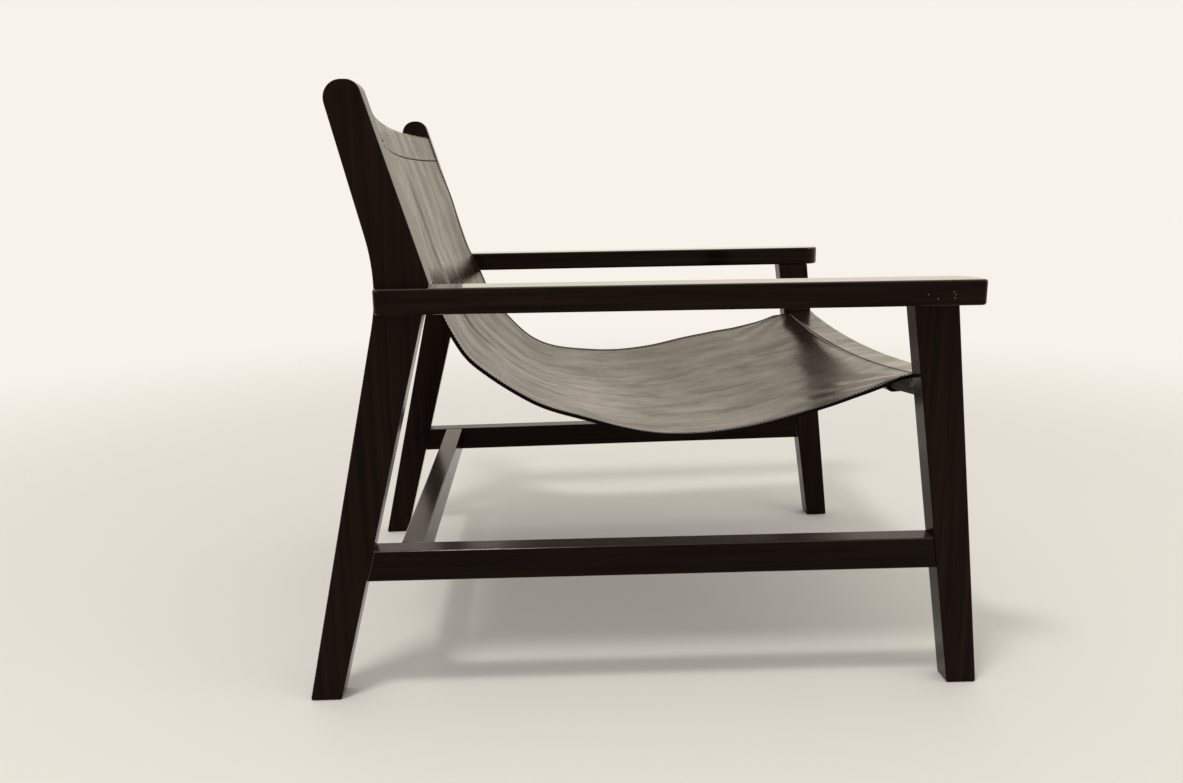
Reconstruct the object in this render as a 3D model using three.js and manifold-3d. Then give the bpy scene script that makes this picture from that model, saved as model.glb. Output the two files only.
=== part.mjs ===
import * as THREE from 'three';
import { mergeVertices } from 'three/addons/utils/BufferGeometryUtils.js';
import Module from 'manifold-3d';

// Leather sling lounge chair, in millimetres. +Z is up, the front faces -Y, and the origin lies on the
// floor midway between the toes and the heels. Right and left are the sitter's: right is -X.
// Two ebonised side frames splay apart towards the front. A cross stretcher and two dished rails
// join them, and the hide hangs from the rails in two sewn pockets.

// Side frames: legs' outer faces at mid depth, and the angle that each frame turns out to the front
const frameHalfWidth = 326;
const splay = THREE.MathUtils.degToRad(1.4);
const legThickness = 32;
const chairHeight = 760;

// Rear leg: one bent piece, measured to its corners at the floor, at the bend and at the crest
const heelReach = 432;
const rearFootDepth = 39.5;
const bendHeight = 532;
const bendReach = 254;
const bendDepth = 58.5;
const backLean = THREE.MathUtils.degToRad(16.9);
const crestDepth = 44;
const bendRadius = 240;
const crestRearRadius = 21;
const crestFrontRadius = 17;

// Front leg: leans back and widens up to the arm
const toeReach = 432;
const frontFootDepth = 38.5;
const frontTopReach = 375;
const frontTopDepth = 54;

// Arm: a flat board that overhangs the legs outside and is cut round the rear post
const armTopHeight = 528;
const armThickness = 30.5;
const armWidth = 54;
const armOverhang = 22;
const armNose = 24;
const armNoseRadius = 28;
const armCornerRadius = 7;

// Stretchers: one in each side frame and one across, all with their tops at one height
const stretcherTop = 201;
const stretcherHeight = 40;
const stretcherThickness = 30;
const crossReach = 309;
const crossDepth = 29;

// Rails: dished boards between the frames that the hide is hung on
const railThickness = 26;
const railRadius = 5;
const topRailDepth = 36;
const topRailDish = 17;
const frontRailDepth = 42;
const frontRailDish = 18;
const frontRailTilt = THREE.MathUtils.degToRad(4);

// Hide: its folded edges at the two rails, the sag of its seat and the layer that makes the pockets
const hideThickness = 4;
const hideGap = 3;
const topFoldDrop = 24.5;
const frontFoldReach = 390;
const frontFoldHeight = 410;
const seatSag = 65;
const pocketCutback = 90;
// The hide's side line from the front seam to the top seam, as shares of the run between the seams,
// of the seat's sag and of the rise between the seams
const hideLineShares = [
  [0.075, 0.244, 0], [0.2, 0.48, 0], [0.342, 0.824, 0], [0.491, 1, 0], [0.633, 0.8, 0],
  [0.736, 0.493, 0], [0.823, 0, 0.037], [0.874, 0, 0.171], [0.92, 0, 0.459], [0.96, 0, 0.768],
];

// Joints
const fitGap = 0.3;
const tenonThickness = 11;
const tenonHeight = 26;
const tenonLength = 22;
const crossTenonLength = 15;
const armTenonHeight = 18;
const armTenonMargin = 9;
const railTenonLength = 8;
const railTenonMargin = 7;
const overrun = 6;

// Fasteners
const dowelRadius = 4;
const dowelLength = 34;
const dowelSpacing = 30;
const studRadius = 3;
const studEmbed = 20;
const studTail = 4;
const nutRadius = 5;
const nutSetback = 23;
const nutTail = 9;
const nutSlotWidth = 1.6;
const nutSlotDepth = 1.5;

// Finish of the edges, and how finely round shapes are faceted
const edgeRadius = 2;
const armEdgeRadius = 3;
const cornerRadius = 3;
const facetSag = 0.06;
const hideFacetSag = 0.35;
const weldDistance = 0.001;
const edgeSegments = 3;
const spanSteps = 10;
const hideEndSteps = 2;
const hideLineSteps = 20;
const roundSides = 16;

const ebonisedOak = { color: '#1d1613', roughness: 0.38, metalness: 0 };
const saddleLeather = { color: '#211c19', roughness: 0.42, metalness: 0 };
const zincSteel = { color: '#8d8b86', roughness: 0.35, metalness: 1 };
const beechDowel = { color: '#b99468', roughness: 0.6, metalness: 0 };

const wasm = await Module();
wasm.setup();

// A closed geometry as a solid that can be joined and cut
function toSolid(geometry) {
  const bare = geometry.clone();
  bare.deleteAttribute('normal');
  bare.deleteAttribute('uv');
  const welded = mergeVertices(bare, weldDistance);
  return new wasm.Manifold(new wasm.Mesh({
    numProp: 3,
    vertProperties: welded.attributes.position.array,
    triVerts: Uint32Array.from(welded.index.array),
  }));
}

function toGeometry(solid) {
  const { vertProperties, triVerts } = solid.getMesh();
  const geometry = new THREE.BufferGeometry();
  geometry.setAttribute('position', new THREE.BufferAttribute(vertProperties, 3));
  geometry.setIndex(new THREE.BufferAttribute(triVerts, 1));
  geometry.computeVertexNormals();
  return geometry;
}

// One blank with pieces joined on and others cut away
function shaped(blank, { joins = [], cuts = [] }) {
  let solid = toSolid(blank);
  for (const piece of joins) solid = solid.add(toSolid(piece));
  for (const piece of cuts) solid = solid.subtract(toSolid(piece));
  return toGeometry(solid);
}

// The points of a closed outline whose corners are [across, up, radius]
function roundedPoints(corners, sag = facetSag) {
  return corners.flatMap(([across, up, radius = 0], index) => {
    const corner = new THREE.Vector2(across, up);
    if (!radius) return [corner];
    const [before, after] = [corners.at(index - 1), corners[(index + 1) % corners.length]].map(
      ([x, y]) => new THREE.Vector2(x, y).sub(corner).normalize());
    const halfAngle = Math.acos(before.dot(after)) / 2;
    const centre = before.clone().add(after).setLength(radius / Math.sin(halfAngle)).add(corner);
    const start = before.multiplyScalar(radius / Math.tan(halfAngle)).add(corner).sub(centre);
    const end = after.multiplyScalar(radius / Math.tan(halfAngle)).add(corner).sub(centre);
    const turn = Math.atan2(start.cross(end), start.dot(end));
    const steps = Math.ceil(Math.abs(turn) / (2 * Math.acos(1 - sag / radius)));
    return Array.from({ length: steps + 1 }, (_, step) =>
      start.clone().rotateAround(new THREE.Vector2(), turn * step / steps).add(centre));
  });
}

// The same corners moved out by a distance, for the cut that a piece fits in
function grownCorners(corners, distance) {
  const normals = corners.map(([x, y], index) => {
    const [nextX, nextY] = corners[(index + 1) % corners.length];
    return new THREE.Vector2(nextY - y, x - nextX).normalize();
  });
  return corners.map(([x, y, radius], index) => {
    const [before, after] = [normals.at(index - 1), normals[index]];
    const move = before.clone().add(after).multiplyScalar(distance / (1 + before.dot(after)));
    return [x + move.x, y + move.y, radius];
  });
}

// A board of one outline, centred on its own thickness, with rounded edges
function board(points, thickness, edge = 0) {
  const geometry = new THREE.ExtrudeGeometry(new THREE.Shape(points), {
    depth: thickness - 2 * edge,
    bevelEnabled: edge > 0,
    bevelThickness: edge,
    bevelSize: edge,
    bevelOffset: -edge,
    bevelSegments: edgeSegments,
  });
  return geometry.translate(0, 0, edge - thickness / 2);
}

// Stands a board up, so that its outline runs front to back and up and its thickness runs across
const upright = new THREE.Matrix4().makeBasis(
  new THREE.Vector3(0, 1, 0), new THREE.Vector3(0, 0, 1), new THREE.Vector3(1, 0, 0));

function block(low, high, grow = 0) {
  const box = new THREE.Box3(new THREE.Vector3(...low), new THREE.Vector3(...high)).expandByScalar(grow);
  const size = box.getSize(new THREE.Vector3());
  const centre = box.getCenter(new THREE.Vector3());
  return new THREE.BoxGeometry(size.x, size.y, size.z).translate(centre.x, centre.y, centre.z);
}

// A round rod along one direction, from its start point
function rod(radius, length, start, direction) {
  const turn = new THREE.Quaternion().setFromUnitVectors(new THREE.Vector3(0, 1, 0), direction);
  return new THREE.CylinderGeometry(radius, radius, length, roundSides)
    .translate(0, length / 2, 0)
    .applyQuaternion(turn)
    .translate(start.x, start.y, start.z);
}

// Half the clear width between the frames at a depth, behind a face that lies some way into the frame
function clearHalf(y, inset) {
  return frameHalfWidth - inset / Math.cos(splay) - y * Math.tan(splay);
}

function sideMatrix(side) {
  return new THREE.Matrix4().makeRotationZ(side * splay).setPosition(side * frameHalfWidth, 0, 0);
}

// Chair geometry seen from inside a side frame, for the cuts that the rails and stretcher need there
function inSide(side, geometry) {
  return geometry.applyMatrix4(sideMatrix(side).invert());
}

const armUnderside = armTopHeight - armThickness;
const armMiddle = armTopHeight - armThickness / 2;
const stretcherMiddle = stretcherTop - stretcherHeight / 2;
const rearFrontFace = (z) => THREE.MathUtils.lerp(heelReach - rearFootDepth, bendReach, z / bendHeight);
const frontRearFace = (z) => -THREE.MathUtils.lerp(
  toeReach - frontFootDepth, frontTopReach - frontTopDepth, z / armUnderside);

const postFrontFace = (z) => bendReach + (z - bendHeight) * Math.tan(backLean);
const crestReach = postFrontFace(chairHeight);
const armFrontReach = frontTopReach + armNose;
const armRearReach = THREE.MathUtils.lerp(heelReach, bendReach + bendDepth, armMiddle / bendHeight);
const layer = hideThickness + fitGap;

// Rails as frames of reference: the middle of the section at the ends, the dish axis and the depth axis.
// A rail's dish goes against its thickness axis, and its narrow edge faces against its depth axis.
function railFrame(fold, depthAngle, depth, dish) {
  const along = new THREE.Vector2(Math.cos(depthAngle), Math.sin(depthAngle));
  const out = new THREE.Vector2(-along.y, along.x);
  if (out.y < 0) out.negate();
  const middle = fold.clone()
    .addScaledVector(along, -(layer + depth / 2))
    .addScaledVector(out, -(layer + railThickness / 2));
  return { middle, along, out, depth, dish };
}

const topFoldHeight = chairHeight - topFoldDrop;
const topRailFrame = railFrame(
  new THREE.Vector2(postFrontFace(topFoldHeight), topFoldHeight), Math.PI / 2 - backLean, topRailDepth,
  topRailDish);
const frontRailFrame = railFrame(
  new THREE.Vector2(-frontFoldReach, frontFoldHeight), Math.PI - frontRailTilt, frontRailDepth,
  frontRailDish);

// A corner of a rail's section in y and z, grown by some distance: signs along its depth and thickness
function railCorner({ middle, along, out, depth }, alongSign, outSign, grow) {
  const corner = middle.clone()
    .addScaledVector(along, alongSign * (depth / 2 + grow))
    .addScaledVector(out, outSign * (railThickness / 2 + grow));
  return [corner.x, corner.y, railRadius + grow];
}

// A rail's section with rounded edges, grown for the room that it takes, anticlockwise in y and z
function railCorners(frame, grow) {
  const corners = [[1, -1], [1, 1], [-1, 1], [-1, -1]].map(([alongSign, outSign]) =>
    railCorner(frame, alongSign, outSign, grow));
  return frame.along.cross(frame.out) > 0 ? corners : corners.reverse();
}

// Moves a straight span out to the splayed frames and dishes it: full at mid span, none at the legs
function spread(geometry, clearance, dishAt) {
  const position = geometry.attributes.position;
  for (let index = 0; index < position.count; index += 1) {
    const [share, y, z] = [position.getX(index), position.getY(index), position.getZ(index)];
    const half = clearHalf(y, legThickness);
    const x = share * (half - clearance);
    const bow = 1 - (x / half) ** 2;
    const { across, up } = dishAt(y, z);
    position.setXYZ(index, x, y - across * bow, z - up * bow);
  }
  return geometry;
}

// An outline in y and z, drawn out over the span between two shares of its half width
function spanExtrusion(points, { holes = [], from = -1, to = 1, steps = spanSteps } = {}) {
  const shape = new THREE.Shape(points);
  shape.holes = holes.map((hole) => new THREE.Path(hole));
  const geometry = new THREE.ExtrudeGeometry(shape, { depth: to - from, steps, bevelEnabled: false });
  return geometry.translate(0, 0, from).applyMatrix4(upright);
}

function railDish({ out, dish }) {
  return { across: out.x * dish, up: out.y * dish };
}

// Where a rail's stud starts: in the leg, on the middle of the rail's section
function studStart(side, frame) {
  const faceX = clearHalf(frame.middle.x, legThickness);
  return new THREE.Vector3(side * (faceX + studEmbed), frame.middle.x, frame.middle.y);
}

function stud(side, frame, grow = 0) {
  const start = studStart(side, frame);
  start.x += side * grow;
  const length = studEmbed + nutSetback + nutRadius + studTail + 2 * grow;
  return rod(studRadius + grow, length, start, new THREE.Vector3(-side, 0, 0));
}

// The barrel nut goes in at the rail's narrow edge and crosses the stud
function barrelNut(side, frame, grow = 0) {
  const share = 1 - nutSetback / clearHalf(frame.middle.x, legThickness);
  const bow = (1 - share * share) * frame.dish;
  const direction = new THREE.Vector3(0, frame.along.x, frame.along.y);
  const edge = frame.middle.clone()
    .addScaledVector(frame.along, -(frame.depth / 2 + grow))
    .addScaledVector(frame.out, -bow * Math.min(1, studRadius / nutRadius));
  const start = new THREE.Vector3(
    side * (clearHalf(frame.middle.x, legThickness) - nutSetback), edge.x, edge.y);
  return rod(nutRadius + grow, frame.depth / 2 + nutTail + 2 * grow, start, direction);
}

function nutSlot(side, frame) {
  const x = side * (clearHalf(frame.middle.x, legThickness) - nutSetback);
  const edge = frame.middle.clone().addScaledVector(frame.along, -frame.depth / 2);
  const slot = new THREE.BoxGeometry(nutSlotWidth, 2 * nutSlotDepth, 2 * (nutRadius + overrun));
  const turn = new THREE.Quaternion().setFromUnitVectors(
    new THREE.Vector3(0, 1, 0), new THREE.Vector3(0, frame.along.x, frame.along.y));
  return slot.applyQuaternion(turn).translate(x, edge.x, edge.y);
}

function railTenon(side, frame, grow = 0) {
  const faceX = clearHalf(frame.middle.x, legThickness);
  const depth = frame.depth - 2 * railTenonMargin + 2 * grow;
  const thickness = railThickness - 2 * railTenonMargin + 2 * grow;
  const length = railTenonLength + overrun + grow;
  const turn = new THREE.Quaternion().setFromUnitVectors(
    new THREE.Vector3(0, 1, 0), new THREE.Vector3(0, frame.along.x, frame.along.y));
  return new THREE.BoxGeometry(length, depth, thickness)
    .applyQuaternion(turn)
    .translate(side * (faceX + railTenonLength + grow - length / 2), frame.middle.x, frame.middle.y);
}

// The hide's side line between the seams, each point with the outward normal of its seat side
function hideLine() {
  const seam = (frame) => frame.middle.clone()
    .addScaledVector(frame.along, -(frame.depth / 2 + layer))
    .addScaledVector(frame.out, railThickness / 2 + layer);
  const [front, top] = [seam(frontRailFrame), seam(topRailFrame)];
  const between = hideLineShares.map(([run, sag, rise]) => new THREE.Vector2(
    THREE.MathUtils.lerp(front.x, top.x, run),
    front.y - seatSag * sag + (top.y - front.y) * rise));
  const curve = new THREE.SplineCurve([front, ...between, top]);
  const samples = curve.getSpacedPoints(hideLineSteps);
  return samples.map((point, index) => {
    const [before, after] = [samples[Math.max(index - 1, 0)], samples[Math.min(index + 1, hideLineSteps)]];
    const tangent = after.clone().sub(before).normalize();
    let normal = new THREE.Vector2(-tangent.y, tangent.x);
    if (index === 0) normal = frontRailFrame.out.clone();
    if (index === hideLineSteps) normal = topRailFrame.out.clone();
    const dish = THREE.MathUtils.lerp(frontRailDish, topRailDish, index / hideLineSteps);
    return { point, normal, dish };
  });
}

// How far the hide is dished at a point in y and z: as the rail inside a pocket, else as its side line
function hideDish(line, y, z) {
  const here = new THREE.Vector2(y, z);
  const inPocket = [frontRailFrame, topRailFrame].find(({ middle, along, depth }) => {
    const run = here.clone().sub(middle).dot(along);
    return Math.abs(run) < depth / 2 + layer + weldDistance && here.distanceTo(middle) < depth;
  });
  if (inPocket) return railDish(inPocket);
  const distance = ({ point }) => point.distanceToSquared(here);
  const nearest = line.reduce((best, sample) => (distance(sample) < distance(best) ? sample : best));
  return { across: nearest.normal.x * nearest.dish, up: nearest.normal.y * nearest.dish };
}

// The stretch at each end of a rail where the pocket's back and underside are cut away
function pocketCut(frame, side) {
  const inner = 1 - pocketCutback / clearHalf(frame.middle.x, legThickness);
  const [from, to] = [inner, 2 - inner].map((share) => share * side).sort((a, b) => a - b);
  const reach = [-(frame.depth / 2 + layer + fitGap), frame.depth / 2 - railRadius];
  const rise = [-(railThickness / 2 + layer + fitGap), railThickness / 2 + fitGap / 2];
  const corners = [[0, 0], [1, 0], [1, 1], [0, 1]].map(([alongEnd, outEnd]) => frame.middle.clone()
    .addScaledVector(frame.along, reach[alongEnd])
    .addScaledVector(frame.out, rise[outEnd]));
  return spanExtrusion(corners, { from, to, steps: 2 * hideEndSteps });
}

// The hide: one piece of leather whose ends turn round the rails and are sewn back to it
function hide() {
  const line = hideLine();
  const upper = line.map(({ point }) => [point.x, point.y]);
  const lower = line.map(({ point, normal }) => {
    const under = point.clone().addScaledVector(normal, -hideThickness);
    return [under.x, under.y];
  });
  const turn = [[1, 1], [1, -1], [-1, -1]];
  const outline = roundedPoints([
    ...upper,
    ...turn.map(([alongSign, outSign]) => railCorner(topRailFrame, alongSign, outSign, layer)),
    ...lower.reverse(),
    ...turn.reverse().map(([alongSign, outSign]) => railCorner(frontRailFrame, alongSign, outSign, layer)),
  ], hideFacetSag);
  const rails = [frontRailFrame, topRailFrame];
  const holes = rails.map((frame) => roundedPoints(railCorners(frame, fitGap), hideFacetSag));
  const leather = spread(spanExtrusion(outline, { holes }), hideGap, (y, z) => hideDish(line, y, z));
  const cuts = rails.flatMap((frame) => [-1, 1].map((side) =>
    spread(pocketCut(frame, side), hideGap, () => railDish(frame))));
  return shaped(leather, { cuts });
}

// Rear leg with the mortises for the side stretcher, the top rail and the arm's dowels
function rearLegCorners() {
  return [
    [heelReach, 0, cornerRadius],
    [bendReach + bendDepth, bendHeight, bendRadius],
    [crestReach + crestDepth, chairHeight, crestRearRadius],
    [crestReach, chairHeight, crestFrontRadius],
    [bendReach, bendHeight],
    [heelReach - rearFootDepth, 0, cornerRadius],
  ];
}

function rearLeg(side) {
  const blank = board(roundedPoints(rearLegCorners()), legThickness, edgeRadius)
    .applyMatrix4(upright)
    .translate(-side * legThickness / 2, 0, 0);
  return shaped(blank, {
    cuts: [
      stretcherTenon(side, rearFrontFace(stretcherMiddle), 1, fitGap),
      inSide(side, railTenon(side, topRailFrame, fitGap)),
      inSide(side, stud(side, topRailFrame, fitGap)),
      ...armDowelPlaces(side).map((start) => armDowel(side, start, fitGap)),
    ],
  });
}

function frontLeg(side) {
  const corners = [
    [-toeReach, 0, cornerRadius],
    [frontFootDepth - toeReach, 0, cornerRadius],
    [frontTopDepth - frontTopReach, armUnderside - fitGap],
    [-frontTopReach, armUnderside - fitGap],
  ];
  const blank = board(roundedPoints(corners), legThickness, edgeRadius)
    .applyMatrix4(upright)
    .translate(-side * legThickness / 2, 0, 0);
  return shaped(blank, {
    joins: [armTenon(side)],
    cuts: [
      stretcherTenon(side, frontRearFace(stretcherMiddle), -1, fitGap),
      inSide(side, railTenon(side, frontRailFrame, fitGap)),
      inSide(side, stud(side, frontRailFrame, fitGap)),
    ],
  });
}

// The tenon on top of the front leg, let into the arm from below
function armTenon(side, grow = 0) {
  const middle = -side * legThickness / 2;
  return block(
    [middle - tenonThickness / 2, armTenonMargin - frontTopReach, armUnderside - overrun],
    [middle + tenonThickness / 2, frontTopDepth - frontTopReach - armTenonMargin,
      armUnderside + armTenonHeight],
    grow);
}

// The tenon at one end of a side stretcher, from a shoulder into the leg behind (1) or before it (-1)
function stretcherTenon(side, shoulder, way, grow = 0) {
  const middle = -side * legThickness / 2;
  const ends = [shoulder - way * (overrun + stretcherHeight / 2), shoulder + way * tenonLength];
  return block(
    [middle - tenonThickness / 2, Math.min(...ends), stretcherMiddle - tenonHeight / 2],
    [middle + tenonThickness / 2, Math.max(...ends), stretcherMiddle + tenonHeight / 2],
    grow);
}

function sideStretcher(side) {
  const bottom = stretcherTop - stretcherHeight;
  const corners = [
    [frontRearFace(bottom) + fitGap, bottom],
    [rearFrontFace(bottom) - fitGap, bottom],
    [rearFrontFace(stretcherTop) - fitGap, stretcherTop],
    [frontRearFace(stretcherTop) + fitGap, stretcherTop],
  ];
  const blank = board(roundedPoints(corners), stretcherThickness, edgeRadius)
    .applyMatrix4(upright)
    .translate(-side * legThickness / 2, 0, 0);
  return shaped(blank, {
    joins: [
      stretcherTenon(side, rearFrontFace(stretcherMiddle), 1),
      stretcherTenon(side, frontRearFace(stretcherMiddle), -1),
    ],
    cuts: [inSide(side, crossTenon(side, fitGap))],
  });
}

const crossInset = (legThickness + stretcherThickness) / 2;

function crossTenon(side, grow = 0) {
  const middleY = crossReach - crossDepth / 2;
  const face = clearHalf(middleY, crossInset);
  const ends = [side * (face - overrun), side * (face + crossTenonLength)];
  return block(
    [Math.min(...ends), middleY - tenonThickness / 2, stretcherMiddle - tenonHeight / 2],
    [Math.max(...ends), middleY + tenonThickness / 2, stretcherMiddle + tenonHeight / 2],
    grow);
}

function crossStretcher() {
  const [rear, front] = [crossReach, crossReach - crossDepth];
  const end = (y) => clearHalf(y, crossInset) - fitGap;
  const corners = [[-end(front), front], [end(front), front], [end(rear), rear], [-end(rear), rear]];
  const blank = board(roundedPoints(corners), stretcherHeight, edgeRadius).translate(0, 0, stretcherMiddle);
  return shaped(blank, { joins: [crossTenon(-1), crossTenon(1)] });
}

// Blind dowels that pin the arm's cheek to the rear post
function armDowelPlaces(side) {
  const postMiddle = bendReach + bendDepth / 2 + (bendHeight - armMiddle) * Math.tan(backLean) / 2;
  return [-1, 1].map((way) => new THREE.Vector3(
    side * (dowelLength / 2), postMiddle + way * dowelSpacing / 2, armMiddle));
}

function armDowel(side, start, grow = 0) {
  const from = start.clone();
  from.x += side * grow;
  return rod(dowelRadius + grow, dowelLength + 2 * grow, from, new THREE.Vector3(-side, 0, 0));
}

// Arm: flush with the legs inside, cut round the post so that a cheek runs on outside it
function arm(side) {
  const [inner, outer] = [armOverhang - armWidth, armOverhang];
  const corners = [
    [side * inner, -armFrontReach, armNoseRadius],
    [side * outer, -armFrontReach, armCornerRadius],
    [side * outer, armRearReach, armCornerRadius],
    [side * inner, armRearReach],
  ];
  const plan = roundedPoints(side > 0 ? corners : corners.reverse());
  const blank = board(plan, armThickness, armEdgeRadius).translate(0, 0, armMiddle);
  const grown = roundedPoints(grownCorners(rearLegCorners(), fitGap));
  const notch = board(grown, legThickness + overrun)
    .applyMatrix4(upright)
    .translate(side * (fitGap - (legThickness + overrun) / 2), 0, 0);
  return shaped(blank, {
    cuts: [notch, armTenon(side, fitGap), ...armDowelPlaces(side).map((start) => armDowel(side, start, fitGap))],
  });
}

function rail(frame) {
  const dish = railDish(frame);
  const blank = spread(spanExtrusion(roundedPoints(railCorners(frame, 0))), fitGap, () => dish);
  return shaped(blank, {
    joins: [-1, 1].map((side) => railTenon(side, frame)),
    cuts: [-1, 1].flatMap((side) => [stud(side, frame, fitGap), barrelNut(side, frame, fitGap)]),
  });
}

function piece(name, geometry, finish) {
  const mesh = new THREE.Mesh(geometry, new THREE.MeshStandardMaterial(finish));
  mesh.name = name;
  return mesh;
}

function sideFrame(side, hand) {
  const frame = new THREE.Group();
  frame.position.x = side * frameHalfWidth;
  frame.rotation.z = side * splay;
  frame.add(piece(`rear_leg_${hand}`, rearLeg(side), ebonisedOak));
  frame.add(piece(`front_leg_${hand}`, frontLeg(side), ebonisedOak));
  frame.add(piece(`arm_${hand}`, arm(side), ebonisedOak));
  frame.add(piece(`side_stretcher_${hand}`, sideStretcher(side), ebonisedOak));
  armDowelPlaces(side).forEach((start, index) => {
    const place = ['front', 'rear'][index];
    frame.add(piece(`arm_dowel_${place}_${hand}`, armDowel(side, start), beechDowel));
  });
  return frame;
}

function railFittings(name, frame) {
  const fittings = new THREE.Group();
  for (const [side, hand] of [[-1, 'right'], [1, 'left']]) {
    fittings.add(piece(`${name}_stud_${hand}`, stud(side, frame), zincSteel));
    const nut = shaped(barrelNut(side, frame), {
      cuts: [stud(side, frame, fitGap), nutSlot(side, frame)],
    });
    fittings.add(piece(`${name}_barrel_nut_${hand}`, nut, zincSteel));
  }
  return fittings;
}

const chair = new THREE.Group();
chair.add(sideFrame(-1, 'right'));
chair.add(sideFrame(1, 'left'));
chair.add(piece('rear_cross_stretcher', crossStretcher(), ebonisedOak));
chair.add(piece('top_rail', rail(topRailFrame), ebonisedOak));
chair.add(piece('front_rail', rail(frontRailFrame), ebonisedOak));
chair.add(railFittings('top_rail', topRailFrame));
chair.add(railFittings('front_rail', frontRailFrame));
chair.add(piece('leather_sling', hide(), saddleLeather));

export default chair;
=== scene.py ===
import math

import bpy
import numpy as np
from mathutils import Matrix, Vector


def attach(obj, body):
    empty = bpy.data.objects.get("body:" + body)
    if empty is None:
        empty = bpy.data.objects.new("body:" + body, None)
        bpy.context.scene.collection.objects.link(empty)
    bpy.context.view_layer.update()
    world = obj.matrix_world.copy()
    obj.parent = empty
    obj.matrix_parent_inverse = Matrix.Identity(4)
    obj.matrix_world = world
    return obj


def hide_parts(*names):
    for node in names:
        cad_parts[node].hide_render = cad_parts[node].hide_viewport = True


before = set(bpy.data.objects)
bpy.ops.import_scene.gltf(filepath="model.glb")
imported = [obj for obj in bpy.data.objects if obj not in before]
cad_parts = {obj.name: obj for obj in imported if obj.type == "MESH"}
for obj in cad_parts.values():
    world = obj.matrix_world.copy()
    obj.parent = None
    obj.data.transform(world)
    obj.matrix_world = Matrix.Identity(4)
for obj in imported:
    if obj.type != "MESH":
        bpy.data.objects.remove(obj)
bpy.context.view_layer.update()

print("frame:", len(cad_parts), "nodes")

millimetre = 0.001


# An sRGB hex value as linear red, green, blue and alpha
def toLinear(hexColour):
    channels = [int(hexColour[i:i + 2], 16) / 255 for i in (1, 3, 5)]
    return (*[c / 12.92 if c <= 0.04045 else ((c + 0.055) / 1.055) ** 2.4 for c in channels], 1)


# An input is set to a value, or linked where it is given another node's output
def addNode(tree, kind, inputs=None, **settings):
    node = tree.nodes.new(kind)
    for name, value in settings.items():
        setattr(node, name, value)
    for socket, value in (inputs or {}).items():
        if isinstance(value, bpy.types.NodeSocket):
            tree.links.new(value, node.inputs[socket])
        else:
            node.inputs[socket].default_value = value
    return node


# The settings of a range node that takes one pair of limits to another
def between(taken, given=(0, 1)):
    return {"From Min": taken[0], "From Max": taken[1], "To Min": given[0], "To Max": given[1]}


def newMaterial(name):
    material = bpy.data.materials.new(name)
    material.use_nodes = True
    material.node_tree.nodes.clear()
    return material, material.node_tree


# Camera: the photograph's own view, found from the edges of the chair
view = {
    "place": (-1.3908, 0.1221, 0.6307),
    "yaw": -3.013, "pitch": -12.235, "roll": -0.788,   # degrees, with yaw from +X
    "focal": 909.62, "imageWidth": 1183,               # in the photograph's pixels
    "sensor": 36,
}


def addCamera():
    yaw, pitch, roll = (math.radians(view[turn]) for turn in ("yaw", "pitch", "roll"))
    ahead = Vector((math.cos(pitch) * math.cos(yaw), math.cos(pitch) * math.sin(yaw), math.sin(pitch)))
    across = ahead.cross(Vector((0, 0, 1))).normalized()
    up = across.cross(ahead)
    right = across * math.cos(roll) + up * math.sin(roll)
    top = up * math.cos(roll) - across * math.sin(roll)
    data = bpy.data.cameras.new("camera")
    data.sensor_fit = "HORIZONTAL"
    data.sensor_width = view["sensor"]
    data.lens = view["sensor"] * view["focal"] / view["imageWidth"]
    camera = bpy.data.objects.new("camera", data)
    turn = Matrix((right, top, -ahead)).transposed().to_4x4()
    camera.matrix_world = Matrix.Translation(view["place"]) @ turn
    bpy.context.scene.collection.objects.link(camera)
    bpy.context.scene.camera = camera


addCamera()
print("camera: lens", round(bpy.context.scene.camera.data.lens, 2))


# Woods and metals of the frame
ebonising = {
    "poreWidth": 1.1 * millimetre,      # real pores are 0.2 mm, drawn as coarse as they need to show
    "poreLength": 26 * millimetre,
    "bandWidth": 7 * millimetre,
    "bandLength": 320 * millimetre,
    "poreSpread": (0.35, 0.65), "bandSpread": (0.35, 0.7),        # the part of each noise that is used
    "poreRelief": 0.12, "poreDepth": 0.3 * millimetre,
    "ior": 1.33, "oilTint": "#907a6e",  # thin oil in dark wood: a weak mirror square on, strong at a glance
    "waxIor": 1.14, "waxRoughness": 0.04,
    # the grey of dust on upward faces, partly a painted sheen that lightens the stretchers' tops
    "dustAndSheen": "#5c4f4a",
    "upward": 0.9,                      # a normal's height from which a face holds dust and wax
    "rounded": 0.96, "rubbedIor": 1.5,  # a rounded upper edge has no normal part above this share
    "nickSize": 0.7 * millimetre, "nickColour": "#6f675e",
}
# The parts share one stain but have worn apart: wax is the polish that hands leave on upward faces, dust
# lies on them too and its lighter grey also stands for a painted sheen, and rubbed is how far the upper
# edges have been burnished
wear = {
    "legs": {"stain": "#0b0706", "brown": "#1c110d", "roughness": (0.13, 0.22), "wax": 0, "dustAndSheen": 0,
             "rubbed": 0},
    "arms": {"stain": "#0b0706", "brown": "#1c110d", "roughness": (0.06, 0.12), "wax": 1, "dustAndSheen": 0,
             "rubbed": 1},
    "stretchers": {"stain": "#090605", "brown": "#170d0a", "roughness": (0.13, 0.22), "wax": 0,
                   "dustAndSheen": 0.26, "rubbed": 1},
    "rails": {"stain": "#21160e", "brown": "#3a2a1b", "roughness": (0.5, 0.65), "wax": 0, "dustAndSheen": 0,
              "rubbed": 0},
}
# Small nicks in the outer face of the right arm, near its front end
armNicks = [(-0.3567, -0.3566, 0.5140), (-0.3568, -0.3591, 0.5109), (-0.3568, -0.3581, 0.5069),
            (-0.3563, -0.3385, 0.5062), (-0.3560, -0.3264, 0.5114)]


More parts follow.
